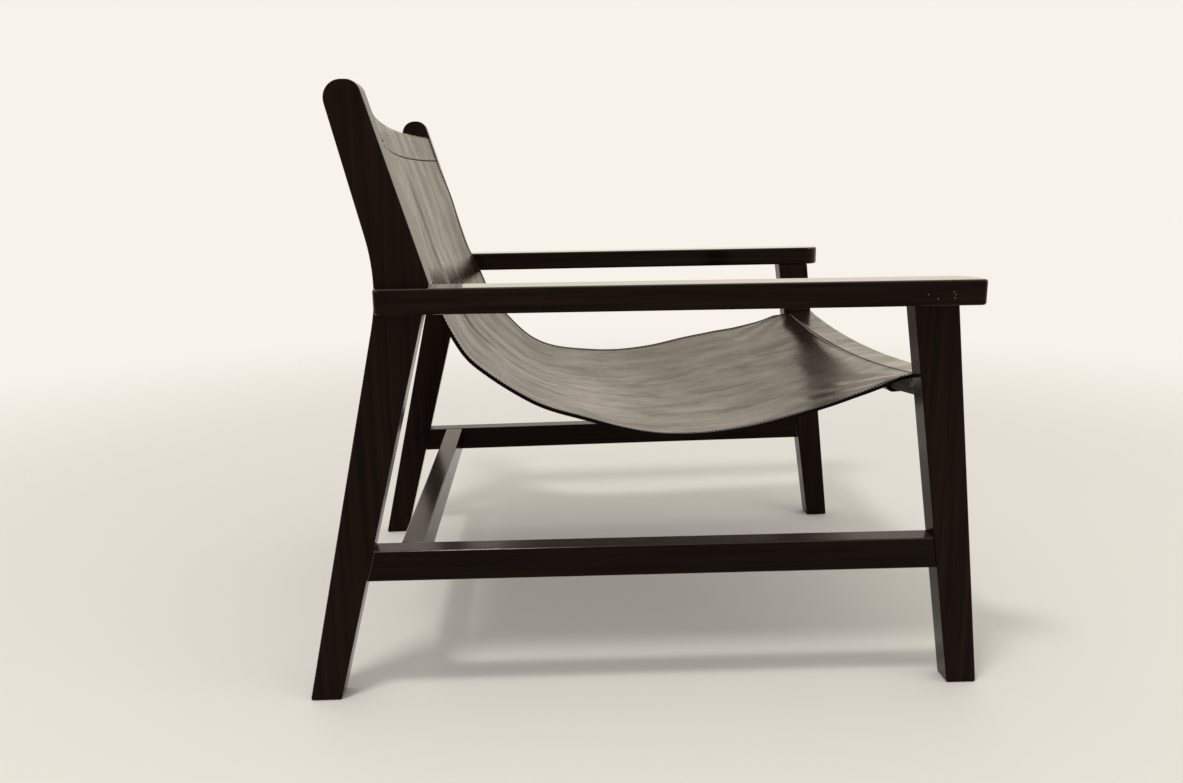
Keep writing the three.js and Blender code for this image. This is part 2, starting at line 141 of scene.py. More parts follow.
# Ebonised oak, stained near black and wiped with a satin oil: seen square on it is almost black, at a
# glancing angle it mirrors what is pale around it, and open pores break that shine along the grain.
# Nicks show the grey wood under the stain.
def ebonisedOak(name, grainAxis, worn, nicked=()):
    material, tree = newMaterial(name)
    place = addNode(tree, "ShaderNodeTexCoord")

    def stretched(width, length, **noise):
        scale = [1 / width] * 3
        scale[grainAxis] = 1 / length
        mapped = addNode(tree, "ShaderNodeMapping", {"Vector": place.outputs["Object"], "Scale": scale})
        return addNode(tree, "ShaderNodeTexNoise", {"Vector": mapped.outputs[0], "Scale": 1, **noise})

    bands = stretched(ebonising["bandWidth"], ebonising["bandLength"], Detail=3, Distortion=0.6)
    pores = stretched(ebonising["poreWidth"], ebonising["poreLength"], Detail=2, Roughness=0.6)
    toBrown = addNode(tree, "ShaderNodeMapRange", {
        "Value": bands.outputs["Fac"], **between(ebonising["bandSpread"])})
    colour = addNode(tree, "ShaderNodeMix", {
        "Factor": toBrown.outputs[0], "A": toLinear(worn["stain"]), "B": toLinear(worn["brown"])},
        data_type="RGBA")
    geometry = addNode(tree, "ShaderNodeNewGeometry")
    facing = addNode(tree, "ShaderNodeSeparateXYZ", {0: geometry.outputs["Normal"]})
    level = addNode(tree, "ShaderNodeMath", {0: facing.outputs["Z"], 1: ebonising["upward"]},
                    operation="GREATER_THAN")
    dustAndSheenShare = addNode(tree, "ShaderNodeMath", {0: level.outputs[0], 1: worn["dustAndSheen"]}, operation="MULTIPLY")
    wax = addNode(tree, "ShaderNodeMath", {0: level.outputs[0], 1: worn["wax"]}, operation="MULTIPLY")
    # Upward faces are mixed toward the lighter dust grey: partly real dust, partly a painted sheen
    colour = addNode(tree, "ShaderNodeMix", {
        "Factor": dustAndSheenShare.outputs[0], "A": colour.outputs["Result"], "B": toLinear(ebonising["dustAndSheen"])},
        data_type="RGBA")
    for nick in nicked:
        away = addNode(tree, "ShaderNodeVectorMath", {0: place.outputs["Object"], 1: nick},
                       operation="DISTANCE")
        inside = addNode(tree, "ShaderNodeMath", {0: away.outputs["Value"], 1: ebonising["nickSize"]},
                         operation="LESS_THAN")
        colour = addNode(tree, "ShaderNodeMix", {
            "Factor": inside.outputs[0], "A": colour.outputs["Result"],
            "B": toLinear(ebonising["nickColour"])}, data_type="RGBA")
    smooth, dull = worn["roughness"]
    roughness = addNode(tree, "ShaderNodeMapRange", {
        "Value": pores.outputs["Fac"], **between(ebonising["poreSpread"], (dull, smooth))})
    relief = addNode(tree, "ShaderNodeBump", {
        "Height": pores.outputs["Fac"], "Strength": ebonising["poreRelief"],
        "Distance": ebonising["poreDepth"]})
    parts = addNode(tree, "ShaderNodeVectorMath", {0: geometry.outputs["Normal"]}, operation="ABSOLUTE")
    part = addNode(tree, "ShaderNodeSeparateXYZ", {0: parts.outputs[0]})
    wide = addNode(tree, "ShaderNodeMath", {0: part.outputs["X"], 1: part.outputs["Y"]},
                   operation="MAXIMUM")
    largest = addNode(tree, "ShaderNodeMath", {0: wide.outputs[0], 1: part.outputs["Z"]},
                      operation="MAXIMUM")
    rounded = addNode(tree, "ShaderNodeMath", {0: largest.outputs[0], 1: ebonising["rounded"]},
                      operation="LESS_THAN")
    upper = addNode(tree, "ShaderNodeMath", {0: facing.outputs["Z"], 1: 1 - ebonising["rounded"]},
                    operation="GREATER_THAN")
    onEdge = addNode(tree, "ShaderNodeMath", {0: rounded.outputs[0], 1: upper.outputs[0]},
                     operation="MULTIPLY")
    rubbed = addNode(tree, "ShaderNodeMath", {0: onEdge.outputs[0], 1: worn["rubbed"]},
                     operation="MULTIPLY")
    ior = addNode(tree, "ShaderNodeMapRange", {
        "Value": rubbed.outputs[0], **between((0, 1), (ebonising["ior"], ebonising["rubbedIor"]))})
    tint = addNode(tree, "ShaderNodeMix", {
        "Factor": rubbed.outputs[0], "A": toLinear(ebonising["oilTint"]), "B": (1, 1, 1, 1)},
        data_type="RGBA")
    shader = addNode(tree, "ShaderNodeBsdfPrincipled", {
        "Base Color": colour.outputs["Result"], "Roughness": roughness.outputs[0],
        "IOR": ior.outputs[0], "Specular Tint": tint.outputs["Result"],
        "Coat Weight": wax.outputs[0], "Coat IOR": ebonising["waxIor"],
        "Coat Roughness": ebonising["waxRoughness"], "Normal": relief.outputs[0]})
    addNode(tree, "ShaderNodeOutputMaterial", {"Surface": shader.outputs[0]})
    return material


speckling = {"spread": (0.3, 0.7), "sheen": 0.06, "depth": 0.1 * millimetre}


# A small fitting's finish: one colour, with a fine uneven sheen from a noise of the speckle's size
def plainFinish(name, colour, roughness, metallic=0, ior=1.5, speckle=1.5 * millimetre, relief=0.1):
    material, tree = newMaterial(name)
    place = addNode(tree, "ShaderNodeTexCoord")
    noise = addNode(tree, "ShaderNodeTexNoise", {
        "Vector": place.outputs["Object"], "Scale": 1 / speckle, "Detail": 3})
    uneven = addNode(tree, "ShaderNodeMapRange", {
        "Value": noise.outputs["Fac"],
        **between(speckling["spread"], (roughness - speckling["sheen"], roughness + speckling["sheen"]))})
    speckled = addNode(tree, "ShaderNodeBump", {
        "Height": noise.outputs["Fac"], "Strength": relief, "Distance": speckling["depth"]})
    shader = addNode(tree, "ShaderNodeBsdfPrincipled", {
        "Base Color": toLinear(colour), "Roughness": uneven.outputs[0], "Metallic": metallic,
        "IOR": ior, "Normal": speckled.outputs[0]})
    addNode(tree, "ShaderNodeOutputMaterial", {"Surface": shader.outputs[0]})
    return material


def finishFrame():
    x, y, z = 0, 1, 2
    legs = ebonisedOak("ebonised_oak_legs", z, wear["legs"])
    arms = ebonisedOak("ebonised_oak_arms", y, wear["arms"], armNicks)
    stretchers = ebonisedOak("ebonised_oak_stretchers", y, wear["stretchers"])
    crossStretcher = ebonisedOak("ebonised_oak_cross_stretcher", x, wear["stretchers"])
    railWood = ebonisedOak("ebonised_oak_rails", x, wear["rails"])
    steel = plainFinish("blackened_steel", "#302d2b", 0.28, metallic=1)   # turned and oil-blackened
    beech = plainFinish("beech_dowel", "#b99468", 0.6, speckle=2 * millimetre, relief=0.2)
    finishes = {
        "rear_leg": legs, "front_leg": legs, "arm_dowel": beech, "arm_": arms,
        "side_stretcher": stretchers, "rear_cross": crossStretcher, "top_rail_": steel,
        "front_rail_": steel, "top_rail": railWood, "front_rail": railWood,
    }
    for name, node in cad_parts.items():
        finish = next((finishes[start] for start in finishes if name.startswith(start)), None)
        if finish:
            node.data.materials.clear()
            node.data.materials.append(finish)


finishFrame()
print("frame finished")


# The hide: one sheet of leather slung between the rails. Lengths in metres.
frames = {
    "halfWidth": 0.326, "splay": math.radians(1.4), "legThickness": 0.032,
    "bendReach": 0.254, "bendHeight": 0.532, "backLean": math.radians(16.9),
}
topFoldHeight = 0.7355
topFoldReach = frames["bendReach"] + (topFoldHeight - frames["bendHeight"]) * math.tan(frames["backLean"])
rails = {
    "front": {"fold": (-0.390, 0.410), "lean": math.radians(176), "depth": 0.042, "dish": 0.018},
    "top": {"fold": (topFoldReach, topFoldHeight), "lean": math.pi / 2 - frames["backLean"],
            "depth": 0.036, "dish": 0.017},
}
railSection = {"thickness": 0.026, "radius": 0.005}
hide = {
    "thickness": 0.004, "railGap": 0.0003, "legGap": 0.003,
    "edgeRounding": 0.0009, "edgeZone": 0.010, "paintedMargin": 0.0021,
    "seatSag": 0.065,
    "pocketCutback": 0.090, "cutbackRounding": 0.012,
    "foldCorner": {"front": 0.004, "top": 0.011},
    "seamAllowance": 0.009, "seamTurn": 0.003,
    "topSeamDrop": 0.0028,            # how far below its rail the top seam is sewn
    "onRail": 0.03,                   # how far onto each rail the side line's slope is taken
    "dishBlend": 0.045,               # over which the dish turns from a rail's way to the seat's
    "pathStep": 0.0005,
}
# The side line from the front seam to the top seam, as shares of the run between the seams, of the
# seat's sag and of the rise between the seams
hideLineShares = np.array([
    [0.075, 0.244, 0], [0.2, 0.48, 0], [0.342, 0.824, 0], [0.491, 1, 0], [0.633, 0.8, 0],
    [0.736, 0.493, 0], [0.823, 0, 0.037], [0.874, 0, 0.171], [0.92, 0, 0.459], [0.96, 0, 0.768],
])


# Vectors in y and z, turned a quarter anticlockwise
def turned(vector):
    return np.stack([-vector[..., 1], vector[..., 0]], axis=-1)


def smoothStep(low, high, value):
    share = np.clip((value - low) / (high - low), 0, 1)
    return share * share * (3 - 2 * share)


def bump(value, middle, width):
    return np.exp(-((value - middle) / width) ** 2)


# A rail's middle, the way its depth runs and the way its thickness faces, in y and z
def railFrame(rail):
    depthWay = np.array([math.cos(rail["lean"]), math.sin(rail["lean"])])
    out = turned(depthWay) if turned(depthWay)[1] > 0 else -turned(depthWay)
    layer = hide["thickness"] + hide["railGap"]
    middle = (np.array(rail["fold"]) - depthWay * (layer + rail["depth"] / 2)
              - out * (layer + railSection["thickness"] / 2))
    return middle, depthWay, out


# Straight runs between corners, with a round of its radius at each inner corner
def roundedPath(corners, radii, stepAngle=math.radians(6)):
    corners = [np.array(corner, float) for corner in corners]
    points = [corners[:1]]
    for before, corner, after, radius in zip(corners, corners[1:], corners[2:], radii):
        back, on = (before - corner), (after - corner)
        back, on = back / np.linalg.norm(back), on / np.linalg.norm(on)
        half = math.acos(np.clip(back @ on, -1, 1)) / 2
        centre = corner + (back + on) / np.linalg.norm(back + on) * radius / math.sin(half)
        start = corner + back * radius / math.tan(half) - centre
        end = corner + on * radius / math.tan(half) - centre
        sweep = math.atan2(start[0] * end[1] - start[1] * end[0], start @ end)
        angle = np.linspace(0, sweep, max(2, int(abs(sweep) / stepAngle)))[:, None]
        points.append(centre + start * np.cos(angle) + turned(start) * np.sin(angle))
    points.append(corners[-1:])
    return np.concatenate(points)


# A curve through points: on each span the cubic whose end slopes are half the chord past them
def smoothLine(points, perSpan=60):
    t = np.linspace(0, 1, perSpan, endpoint=False)[:, None]
    before, start, end, after = (points[i:len(points) - 3 + i, None] for i in range(4))
    slope, endSlope = (end - before) / 2, (after - start) / 2
    spans = ((2 * start - 2 * end + slope + endSlope) * t ** 3
             + (3 * end - 3 * start - 2 * slope - endSlope) * t ** 2 + slope * t + start)
    return np.concatenate([spans.reshape(-1, 2), points[-2:-1]])


# The middle of the leather's thickness in y and z, from the seam allowance under the front pocket,
# round the front rail, down the seat, up the back and round the top rail to the other allowance.
# Gives points one path step apart, and the distances of the two seams and of the folds beside them.
def hidePath():
    half = hide["thickness"] / 2
    pockets, seams = {}, {}
    for name, rail in rails.items():
        middle, depthWay, out = railFrame(rail)
        a = rail["depth"] / 2 + hide["railGap"] + half
        b = railSection["thickness"] / 2 + hide["railGap"] + half
        seams[name] = middle - a * depthWay + b * out
        pockets[name] = (middle, depthWay, out, a, b)
    front, top = seams["front"], seams["top"]
    run, sag, rise = hideLineShares.T
    slung = np.stack([front[0] + (top[0] - front[0]) * run,
                      front[1] - hide["seatSag"] * sag + (top[1] - front[1]) * rise], axis=-1)
    frontEnd = front + pockets["front"][1] * hide["onRail"]
    topEnd = top + pockets["top"][1] * hide["onRail"]
    line = smoothLine(np.concatenate([[frontEnd, front], slung, [top, topEnd]]))
    parts = []
    for name, ends in (("front", line), ("top", line[::-1])):
        middle, depthWay, out, a, b = pockets[name]
        away = np.cumsum(np.linalg.norm(np.diff(ends, axis=0), axis=1))
        inside = ends[np.searchsorted(away, hide["seamAllowance"])]
        under = inside - out * hide["thickness"]
        turn = middle - a * depthWay + (b - hide["thickness"]) * out
        rounds = [middle + s * a * depthWay + t * b * out for s, t in ((-1, -1), (1, -1), (1, 1))]
        radii = [hide["seamTurn"]] + [railSection["radius"] + hide["railGap"] + half] * len(rounds)
        parts.append(roundedPath([under, turn, *rounds, ends[0]], radii))
    points = np.concatenate([parts[0], line[1:-1], parts[1][::-1]])
    distance = np.concatenate([[0], np.cumsum(np.linalg.norm(np.diff(points, axis=0), axis=1))])
    steps = np.linspace(0, distance[-1], int(distance[-1] / hide["pathStep"]))
    even = np.stack([np.interp(steps, distance, points[:, i]) for i in range(2)], axis=-1)
    frontSeam = distance[len(parts[0]) - 1]
    topSeam = distance[len(parts[0]) + len(line) - 2]
    frontFold = frontSeam - 2 * pockets["front"][3]
    topFold = topSeam + 2 * pockets["top"][3]
    return steps, even, frontSeam, topSeam, frontFold, topFold


pathAt, pathPoints, frontSeam, topSeam, frontFold, topFold = hidePath()
pathLength = pathAt[-1]
pathNormals = np.gradient(pathPoints, axis=0)
pathNormals = turned(pathNormals / np.linalg.norm(pathNormals, axis=1)[:, None])


# How far along it is from the front seam (0) to the top seam (1)
def seatShare(s):
    return np.clip((s - frontSeam) / (topSeam - frontSeam), 0, 1)


# How far mid span hangs from the side line: with the rail in a pocket, else square to the line
def dishVectors():
    frontOut, topOut = (railFrame(rails[name])[2] * rails[name]["dish"] for name in ("front", "top"))
    depth = rails["front"]["dish"] + (rails["top"]["dish"] - rails["front"]["dish"]) * seatShare(pathAt)
    onSeat = pathNormals * depth[:, None]
    fromFront = smoothStep(frontSeam, frontSeam + hide["dishBlend"], pathAt)[:, None]
    toTop = smoothStep(topSeam - hide["dishBlend"], topSeam, pathAt)[:, None]
    return frontOut * (1 - fromFront) + onSeat * fromFront * (1 - toTop) + topOut * toTop


pathDishes = dishVectors()


# Points or vectors kept along the path, read at the distances s
def readPath(vectors, s):
    return np.stack([np.interp(s, pathAt, vectors[:, i]) for i in range(2)], axis=-1)


# Half the clear width between the side frames at a depth
def clearHalf(y):
    return (frames["halfWidth"] - frames["legThickness"] / math.cos(frames["splay"])
            - y * math.tan(frames["splay"]))


# Half the hide's width: up to the side frames, rounded off at the folds, and cut back below the rails.
# A fold's corner takes r - sqrt(r2 - (r - d)2) off the width at a distance d < r before the fold.
def hideHalf(s):
    whole = clearHalf(readPath(pathPoints, s)[..., 0]) - hide["legGap"]
    corner = hide["foldCorner"]
    offFront = corner["front"] - np.clip(s - frontFold, 0, corner["front"])
    offTop = corner["top"] - np.clip(topFold - s, 0, corner["top"])
    atFront = corner["front"] - np.sqrt(corner["front"] ** 2 - offFront ** 2)
    atTop = corner["top"] - np.sqrt(corner["top"] ** 2 - offTop ** 2)
    rounding = hide["cutbackRounding"]
    frontUnder = frontFold - railSection["thickness"]
    topUnder = topFold + railSection["thickness"]
    cutFront = 1 - smoothStep(frontUnder - rounding, frontUnder, s)
    cutTop = smoothStep(topUnder, topUnder + rounding, s)
    return whole - np.maximum(atFront, atTop) - hide["pocketCutback"] * np.maximum(cutFront, cutTop)


# The hide has hung unevenly, so each side edge has its own heights over the side line, in millimetres
# at shares of the way from the front seam to the top seam. The first and last only guide the curve.
uneven = {
    "right": [(-0.04, 0), (0, 0), (0.04, 1.5), (0.08, -3.6), (0.13, -10.4), (0.18, -13.5), (0.24, -13.2),
              (0.3, -11.2), (0.37, -6), (0.44, -1), (0.51, 4.6), (0.58, 4.8), (0.65, -0.8), (0.71, -3.5),
              (0.76, -7), (0.84, -7), (0.92, -6), (0.97, -3), (1, 0), (1.04, 0)],
    "left": [(-0.04, 0), (0, 0), (0.04, 4.8), (0.08, 3.3), (0.13, 1.2), (0.18, 4), (0.24, 8),
             (0.3, 6.6), (0.37, 5.3), (0.44, 0), (0.51, -5.4), (0.58, -4.4), (0.65, 1.6), (0.71, 5.4),
             (0.76, 5), (0.8, 0), (0.85, -2.5), (0.92, -1.5), (0.97, -0.5), (1, 0), (1.04, 0)],
}
# Soft valleys down the back, each as its start below the top seam, its place across there, how far
# across it runs per metre down, its depth and its width
backCreases = [
    {"start": 0.005, "place": -0.055, "run": 0.20, "depth": 0.0022, "width": 0.007},
    {"start": 0.045, "place": -0.075, "run": 0.26, "depth": 0.0020, "width": 0.009},
    {"start": 0.120, "place": 0.080, "run": 0.05, "depth": 0.0006, "width": 0.012},
]
creaseFade = {"in": 0.04, "out": (0.20, 0.36)}
# Ripples that spread from each front corner, where the hide pulls against its pocket
cornerFan = {"reach": 0.15, "height": 0.0008, "waves": 9, "from": (0.004, 0.03), "inset": 0.012}


unevenLines = {side: smoothLine(np.array(heights)).T for side, heights in uneven.items()}


# Between the two side edges the height runs straight from one to the other
def unevenHang(s, xShare):
    right, left = (np.interp(seatShare(s), *unevenLines[side]) * millimetre for side in ("right", "left"))
    return (right * (1 - xShare) + left * (1 + xShare)) / 2


def creases(s, x):
    height = np.zeros(np.broadcast(s, x).shape)
    fromTop = topSeam - s
    fadeOut = 1 - smoothStep(*creaseFade["out"], fromTop)
    for crease in backCreases:
        place = crease["place"] + crease["run"] * np.clip(fromTop, 0, 1)
        fade = smoothStep(crease["start"], crease["start"] + creaseFade["in"], fromTop) * fadeOut
        height -= crease["depth"] * fade * bump(x, place, crease["width"])
    down = s - frontSeam
    fade = smoothStep(*cornerFan["from"], down)
    for side in (-1, 1):
        inward = np.abs(clearHalf(readPath(pathPoints, s)[..., 0]) - side * x) + cornerFan["inset"]
        reach = np.hypot(down + cornerFan["inset"], inward)
        angle = np.arctan2(inward, down + cornerFan["inset"])
        wave = np.sin(2 * cornerFan["waves"] * angle + side)
        height += cornerFan["height"] * fade * np.exp(-(reach / cornerFan["reach"]) ** 2) * wave
    return height


# Along each seam the stitches pull a groove, the pocket swells beside it, and the seat a little too
seamShape = {
    "groove": 0.0016, "grooveWidth": 0.0009,
    "ridge": 0.0008, "ridgeWidth": 0.0017, "ridgePlace": 0.0030,
    "seatRidge": 0.0004, "seatRidgePlace": -0.003,
}
sewnSeams = ((frontSeam, -1), (topSeam - hide["topSeamDrop"], 1))      # with the way to each pocket


def seamRelief(s):
    height = np.zeros(np.shape(s))
    width = seamShape["ridgeWidth"]
    for seam, pocketSide in sewnSeams:
        gap = (s - seam) * pocketSide
        height = (height - seamShape["groove"] * bump(gap, 0, seamShape["grooveWidth"])
                  + seamShape["ridge"] * bump(gap, seamShape["ridgePlace"], width)
                  + seamShape["seatRidge"] * bump(gap, seamShape["seatRidgePlace"], width))
    return height


# The cut edge is lipped, with a line pressed beside it, and the stitches pull the side hem into a hollow
edgeShape = {
    "lip": 0.0007, "lipWidth": 0.0018,
    "pressed": 0.0004, "pressedPlace": 0.0035, "pressedWidth": 0.0005,
    "hollow": 0.0004, "hollowWidth": 0.0008,
}


def edgeRelief(gap):
    return (edgeShape["lip"] * bump(gap, 0, edgeShape["lipWidth"])
            - edgeShape["pressed"] * bump(gap, edgeShape["pressedPlace"], edgeShape["pressedWidth"])
            - edgeShape["hollow"] * bump(gap, stitching["fromEdge"], edgeShape["hollowWidth"]))


# A point of the hide: the path's point at s, moved down the dish by 1 - (x / clear half width)
# squared, and raised square to the path by its level, the uneven hang and the creases
def hidePlace(s, x, level):
    point, normal, dish = (readPath(kept, s) for kept in (pathPoints, pathNormals, pathDishes))
    xShare = x / clearHalf(point[..., 0])
    raised = level + unevenHang(s, xShare) + creases(s, x)
    yz = point - dish * (1 - xShare ** 2)[..., None] + normal * raised[..., None]
    return np.stack([np.broadcast_to(x, yz.shape[:-1]), yz[..., 0], yz[..., 1]], axis=-1)


# A tube of faces: rows run along it, columns run round it and close, and flat caps close its ends
def tubeFaces(rows, columns):
    index = np.arange(rows * columns).reshape(rows, columns)
    after = np.roll(index, -1, axis=1)
    quads = np.stack([index[:-1], index[1:], after[1:], after[:-1]], axis=-1).reshape(-1, 4)
    j = np.arange(columns // 2 - 1)
    k = columns - 1 - j
    first = np.stack([index[0, j], index[0, j + 1], index[0, k - 1], index[0, k]], axis=-1)
    last = np.stack([index[-1, j + 1], index[-1, j], index[-1, k], index[-1, k - 1]], axis=-1)
    return np.concatenate([quads, first, last])


def newMesh(name, points, faces):
    mesh = bpy.data.meshes.new(name)
    mesh.from_pydata(points.reshape(-1, 3), [], faces.tolist())
    mesh.polygons.foreach_set("use_smooth", np.ones(len(faces), bool))
    mesh.update()
    return mesh


def placed(name, mesh):
    piece = bpy.data.objects.new(name, mesh)
    bpy.context.scene.collection.objects.link(piece)
    return piece


# The hide's section as a loop: along the top, round one edge, back below and round the other edge.
# Each point's x is its share times the half width less the edge zone, plus its own part of that zone.
def hideSection(innerSteps, edgeGaps, rimSteps):
    half, rounding, zone = hide["thickness"] / 2, hide["edgeRounding"], hide["edgeZone"]
    inner = np.linspace(-1, 1, innerSteps)
    gaps = np.array(edgeGaps) * millimetre
    share = np.concatenate([-np.ones(len(gaps)), inner, np.ones(len(gaps))])
    own = np.concatenate([gaps - zone, np.zeros(innerSteps), (zone - gaps)[::-1]])
    angle = np.linspace(0, math.pi / 2, rimSteps + 1)[1:]
    reach = zone - rounding + np.sin(angle) * rounding
    rise = half - rounding + np.cos(angle) * rounding
    rimReach = np.concatenate([reach, reach[::-1]])
    rimRise = np.concatenate([rise, -rise[::-1]])
    ones = np.ones(len(rimReach))
    return (np.concatenate([share, ones, -share, -ones]),
            np.concatenate([own, rimReach, -own, -rimReach]),
            np.concatenate([np.full(len(share), half), rimRise, np.full(len(share), -half), -rimRise]))


# Distances along the path: close at the seams and at the folds, wider along the seat and back
pathSteps = {"nearSeam": 0.008, "pocket": 76, "seam": 44, "seat": 204}


def hideSteps():
    near = pathSteps["nearSeam"]
    front, top = (seam for seam, pocketSide in sewnSeams)
    parts = [np.linspace(0, front - near, pathSteps["pocket"]),
             np.linspace(front - near, front + near, pathSteps["seam"]),
             np.linspace(front + near, top - near, pathSteps["seat"]),
             np.linspace(top - near, top + near, pathSteps["seam"]),
             np.linspace(top + near, pathLength, pathSteps["pocket"])]
    return np.unique(np.round(np.concatenate(parts), 6))


# Columns across the hide: even ones between the side hems, and at each hem these distances from the
# cut edge in millimetres, close where a line is pressed and where the stitches lie
hideColumns = {
    "innerSteps": 74, "rimSteps": 4,
    "edgeGaps": (0.9, 2.1, 2.7, 3.1, 3.5, 3.9, 4.4, 5.8, 6.8, 7.3, 7.7, 8.1, 8.5, 9.0),
}


def addHide(grainSide, underSide, edge):
    s = hideSteps()[:, None]
    share, own, level = hideSection(**hideColumns)
    half = hideHalf(s)
    x = share * (half - hide["edgeZone"]) + own
    relief = np.where(level > 0, seamRelief(s) + edgeRelief(half - np.abs(x)), 0)
    points = hidePlace(s * np.ones_like(x), x, level + relief)
    faces = tubeFaces(*x.shape)
    mesh = newMesh("sling", points, faces)
    uv = np.stack([s * np.ones_like(x), x], axis=-1).reshape(-1, 2)
    mesh.uv_layers.new(name="hide").data.foreach_set("uv", uv[faces.ravel()].ravel().astype(np.float32))
    for material in (grainSide, underSide, edge):
        mesh.materials.append(material)
    margin = (half - np.abs(x)).ravel()[faces].mean(axis=1) < hide["paintedMargin"]
    below = level[faces % len(level)].mean(axis=1) < 0
    mesh.polygons.foreach_set("material_index", np.where(margin, 2, below).astype(np.int32))
    return placed("sling", mesh)


# The thread is really 0.8 mm thick, drawn as coarse as it needs to show
stitching = {"pitch": 4.4 * millimetre, "length": 2.6 * millimetre, "width": 1.6 * millimetre,
             "height": 1.1 * millimetre, "fromEdge": 8.0 * millimetre,
             "ontoPocket": 0.9}      # how far the side rows run onto each pocket, as a share of its rail


# One stitch is a six-sided spindle: rings at shares of its length, each swollen to a share of its
# width and height, set at each centre along its run
spindle = {"rings": [-0.5, -0.36, 0, 0.36, 0.5], "swell": [0.35, 0.85, 1, 0.85, 0.35], "sides": 6}


# All stitches are one array of centres by ring points
def stitchMesh(name, centres, runs, ups):
    lengths, swell = np.array(spindle["rings"]), np.array(spindle["swell"])
    angle = np.arange(spindle["sides"]) * 2 * math.pi / spindle["sides"]
    sides = np.cross(runs, ups)
    ring = (runs[:, None, None] * (lengths * stitching["length"])[:, None, None]
            + sides[:, None, None] * (swell[:, None] * np.cos(angle) * stitching["width"] / 2)[..., None]
            + ups[:, None, None] * (swell[:, None] * np.sin(angle) * stitching["height"])[..., None])
    points = centres[:, None, None] + ring
    one = tubeFaces(len(lengths), len(angle))[:, ::-1]
    count = len(lengths) * len(angle)
    faces = (one[None] + count * np.arange(len(centres))[:, None, None]).reshape(-1, 4)
    return newMesh(name, points, faces)


# Rows of stitches on the grain side: along both side edges from fold to fold, and along both pocket seams
def addStitches(thread):
    rows = []
    reach = [rails[name]["depth"] * stitching["ontoPocket"] for name in ("front", "top")]
    edgeRun = np.arange(frontSeam - reach[0], topSeam + reach[1], stitching["pitch"])
    for side in (-1, 1):
        rows.append((edgeRun, side * (hideHalf(edgeRun) - stitching["fromEdge"]), (1, 0)))
    for seam, pocketSide in sewnSeams:
        end = float(hideHalf(np.array(seam))) - 2 * stitching["fromEdge"]
        run = np.arange(-end, end, stitching["pitch"])
        rows.append((np.full(len(run), seam), run, (0, 1)))
    centres, runs, ups = [], [], []
    step = stitching["length"] / 2
    for s, x, (alongPath, alongWidth) in rows:
        gap = hideHalf(s) - np.abs(x)
        lift = hide["thickness"] / 2 + seamRelief(s) + edgeRelief(gap)
        centre = hidePlace(s, x, lift)
        ahead = hidePlace(s + step * alongPath, x + step * alongWidth, lift) - centre
        side = hidePlace(s + step * alongWidth, x - step * alongPath, lift) - centre
        ahead /= np.linalg.norm(ahead, axis=1)[:, None]
        up = np.cross(ahead, side)
        up /= np.linalg.norm(up, axis=1)[:, None]
        up *= np.sign((up[:, 1:] * readPath(pathNormals, s)).sum(axis=1))[:, None]
        centres.append(centre)
        runs.append(ahead)
        ups.append(up)
    mesh = stitchMesh("sling_stitching", *(np.concatenate(part) for part in (centres, runs, ups)))
    mesh.materials.append(thread)
    print("stitches:", sum(len(centre) for centre in centres))
    return placed("sling_stitching", mesh)


tanning = {
    "dark": "#110b08", "light": "#2b1e15",
    "streakWidth": 3.5 * millimetre, "streakLength": 24 * millimetre,
    "broadWidth": 36 * millimetre, "broadLength": 100 * millimetre,
    "grain": 1.3 * millimetre,          # real pores are 0.3 mm, drawn as coarse as they need to show
    "roughness": (0.18, 0.32),
    "ior": 1.56,
    "glaze": "#ffe0c0",                 # the wax's warm tint in what it mirrors
    "wax": (0.1, 0.5), "waxIor": 1.2, "waxRoughness": 0.2,
    # the part of the two noises' sum that is used for each
    "colourSpread": (0.75, 1.3), "roughSpread": (0.75, 1.25), "waxSpread": (0.8, 1.2),
    "streakRelief": 0.4, "streakDepth": 0.35 * millimetre,
    "grainRelief": 0.06, "grainDepth": 0.12 * millimetre,
    "sat": (0.50, 0.66),                # from the seat to the back, in metres along the hide
    "satWax": (1.5, 0.6), "satRoughness": (1, 1.1),       # sitting has polished the seat
}


